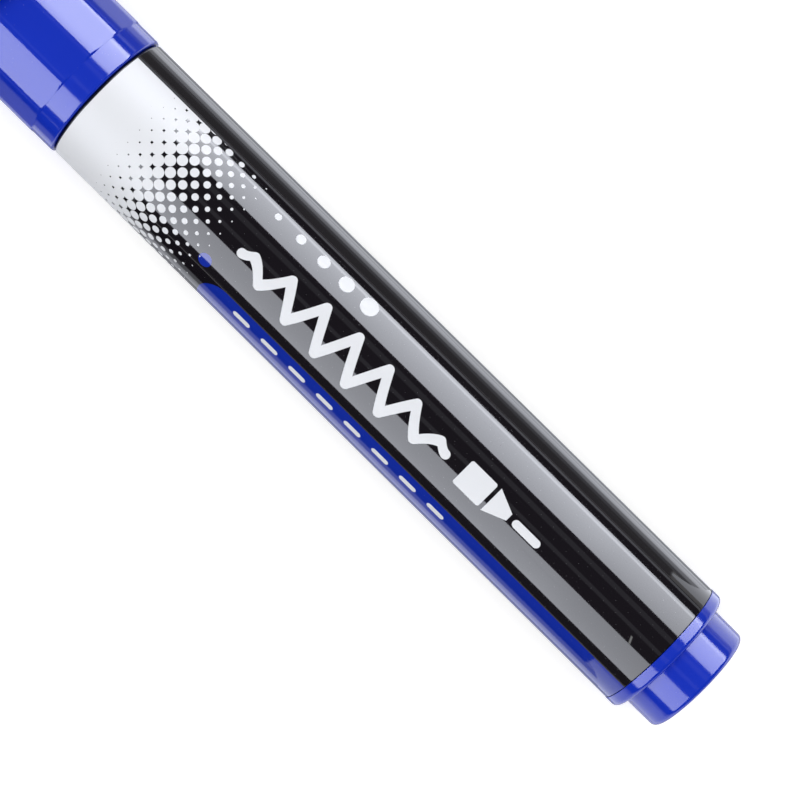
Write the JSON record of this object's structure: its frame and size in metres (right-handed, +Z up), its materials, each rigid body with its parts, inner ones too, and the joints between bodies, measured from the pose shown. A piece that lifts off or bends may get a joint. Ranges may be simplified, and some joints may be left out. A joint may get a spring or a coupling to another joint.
{
  "type": "oil-based marker",
  "caption": "Felt-tipped permanent marker with a push-on clip cap, fibre nib and ink reservoir, printed barrel and removable tail plug.",
  "frame": {"origin": "on the table, under the middle of the closed marker's box", "axes": "+X along the marker from the cap to the tail plug, +Y across it, +Z up from the table, with the clip on top"},
  "size_m": [0.138, 0.017, 0.0206],
  "materials": {
    "barrel_plastic": "black polypropylene, smooth",
    "printed_film": "black glossy printed film with a blue stripe and white print",
    "blue_plastic": "blue polypropylene, smooth and glossy",
    "natural_plastic": "natural polyethylene, slightly translucent",
    "nib_fibre": "pressed polyester fibre soaked in blue ink",
    "reservoir_fibre": "lofted polyester fibre soaked in blue ink",
    "clear_wrap": "clear polypropylene wrap"
  },
  "bodies": {
    "pen_body": {"barrel": "barrel_plastic", "printed_film": "printed_film", "nib_section": "barrel_plastic", "nib": "nib_fibre", "reservoir_core": "reservoir_fibre", "reservoir_wrap": "clear_wrap"},
    "cap": {"cap_shell": "blue_plastic", "inner_cap": "natural_plastic"},
    "tail_plug": {"tail_plug": "blue_plastic"}
  },
  "joints": [
    {"name": "cap_slide", "type": "slide", "parent": "pen_body", "child": "cap", "axis": [-1, 0, 0], "range_m": [0, 0.045]},
    {"name": "plug_slide", "type": "slide", "parent": "pen_body", "child": "tail_plug", "axis": [1, 0, 0], "range_m": [0, 0.015]}
  ]
}
